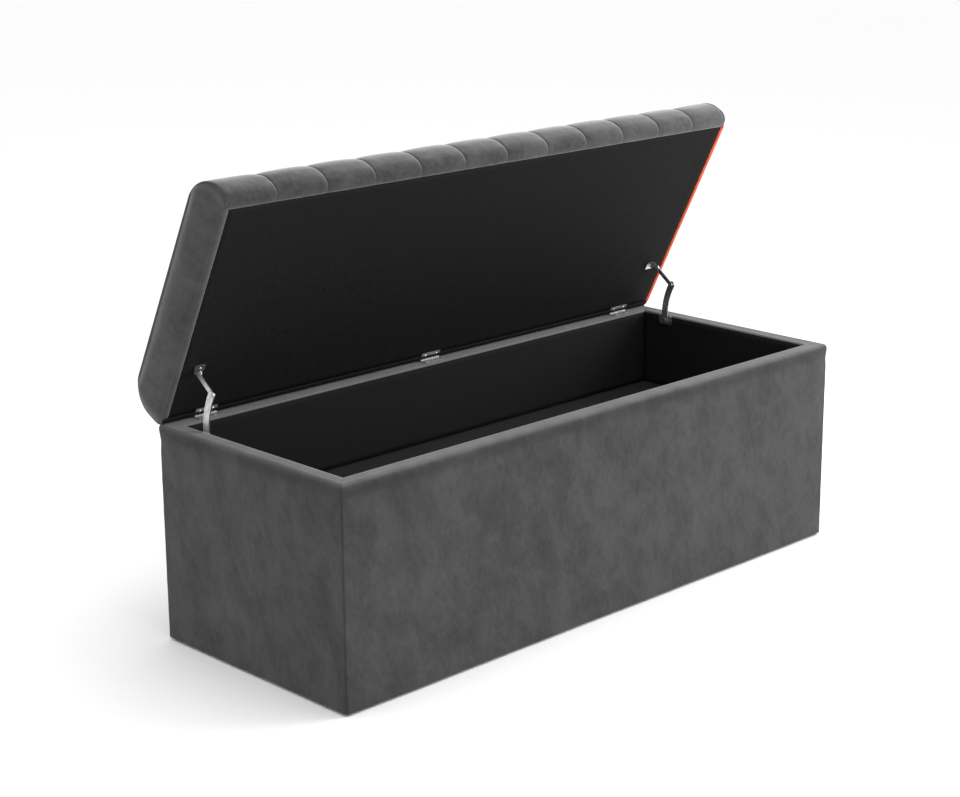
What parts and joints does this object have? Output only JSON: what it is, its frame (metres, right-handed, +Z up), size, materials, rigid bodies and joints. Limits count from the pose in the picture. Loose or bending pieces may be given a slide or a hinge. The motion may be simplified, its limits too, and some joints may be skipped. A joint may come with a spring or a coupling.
{
  "type": "storage bench",
  "caption": "Long upholstered storage bench with a padded, channel-stitched lid on butt hinges and folding stays over a lined storage box.",
  "frame": {"origin": "on the floor under the middle of the box, at the underside of the centre glide", "axes": "+Z up, +X along the bench towards its right-hand end seen from the front, +Y towards the hinged back, -Y the front"},
  "size_m": [1.34, 0.5729, 0.8947],
  "materials": {
    "velvet": "charcoal crushed velvet with a soft mottled nap",
    "foam": "cut upholstery foam",
    "lining_cloth": "matt black woven lining",
    "chipboard": "raw particle board",
    "piping": "woven orange-red edge tape",
    "glide_plastic": "moulded black",
    "hinge_steel": "bright zinc plate",
    "stay_steel": "bright zinc plate"
  },
  "bodies": {
    "box": {"back_board": "chipboard", "back_cover": "velvet", "back_lining": "lining_cloth", "back_padding": "foam", "back_rail": "chipboard", "base_cloth": "lining_cloth", "base_stretcher": "chipboard", "centre_rail": "chipboard", "floor_board": "chipboard", "floor_lining": "lining_cloth", "front_board": "chipboard", "front_cover": "velvet", "front_lining": "lining_cloth", "front_padding": "foam", "front_rail": "chipboard", "glide_back_left": "glide_plastic", "glide_back_right": "glide_plastic", "glide_centre": "glide_plastic", "glide_front_left": "glide_plastic", "glide_front_right": "glide_plastic", "hinge_left_pin": "hinge_steel", "hinge_left_rim_leaf": "hinge_steel", "hinge_middle_pin": "hinge_steel", "hinge_middle_rim_leaf": "hinge_steel", "hinge_right_pin": "hinge_steel", "hinge_right_rim_leaf": "hinge_steel", "left_board": "chipboard", "left_cover": "velvet", "left_lining": "lining_cloth", "left_padding": "foam", "left_rail": "chipboard", "right_board": "chipboard", "right_cover": "velvet", "right_lining": "lining_cloth", "right_padding": "foam", "right_rail": "chipboard", "stay_left_foot_plate": "stay_steel", "stay_left_foot_rivet": "stay_steel", "stay_right_foot_plate": "stay_steel", "stay_right_foot_rivet": "stay_steel"},
    "lid": {"hinge_left_lid_leaf": "hinge_steel", "hinge_middle_lid_leaf": "hinge_steel", "hinge_right_lid_leaf": "hinge_steel", "lid_board": "chipboard", "lid_cover": "velvet", "lid_end_left": "velvet", "lid_end_right": "velvet", "lid_foam": "foam", "lid_lining": "lining_cloth", "lid_piping": "piping", "stay_left_lid_bracket": "stay_steel", "stay_left_lid_rivet": "stay_steel", "stay_right_lid_bracket": "stay_steel", "stay_right_lid_rivet": "stay_steel"},
    "stay_left_lower_arm": {"stay_left_lower_arm": "stay_steel"},
    "stay_left_upper_arm": {"stay_left_upper_arm": "stay_steel"},
    "stay_right_lower_arm": {"stay_right_lower_arm": "stay_steel"},
    "stay_right_upper_arm": {"stay_right_upper_arm": "stay_steel"}
  },
  "joints": [
    {"name": "lid_hinge", "type": "hinge", "parent": "box", "child": "lid", "pos_m": [0, 0.245, 0.4225], "axis": [1, 0, 0], "range_deg": [0, 63.5]},
    {"name": "stay_left_lower_pivot", "type": "hinge", "parent": "box", "child": "stay_left_lower_arm", "pos_m": [-0.6319, 0.16, 0.4085], "axis": [1, 0, 0], "range_deg": [0, 81.91]},
    {"name": "stay_left_upper_pivot", "type": "hinge", "parent": "lid", "child": "stay_left_upper_arm", "pos_m": [-0.6291, 0.18259, 0.52302], "axis": [1, 0, 0], "range_deg": [-90.31, 0]},
    {"name": "stay_right_lower_pivot", "type": "hinge", "parent": "box", "child": "stay_right_lower_arm", "pos_m": [0.6319, 0.16, 0.4085], "axis": [1, 0, 0], "range_deg": [0, 81.91]},
    {"name": "stay_right_upper_pivot", "type": "hinge", "parent": "lid", "child": "stay_right_upper_arm", "pos_m": [0.6291, 0.18259, 0.52302], "axis": [1, 0, 0], "range_deg": [-90.31, 0]}
  ],
  "couplings": [
    {"joint": "stay_left_lower_pivot", "follows": "lid_hinge", "ratio": 1.2898},
    {"joint": "stay_left_upper_pivot", "follows": "lid_hinge", "ratio": -1.422},
    {"joint": "stay_right_lower_pivot", "follows": "lid_hinge", "ratio": 1.2898},
    {"joint": "stay_right_upper_pivot", "follows": "lid_hinge", "ratio": -1.422}
  ]
}
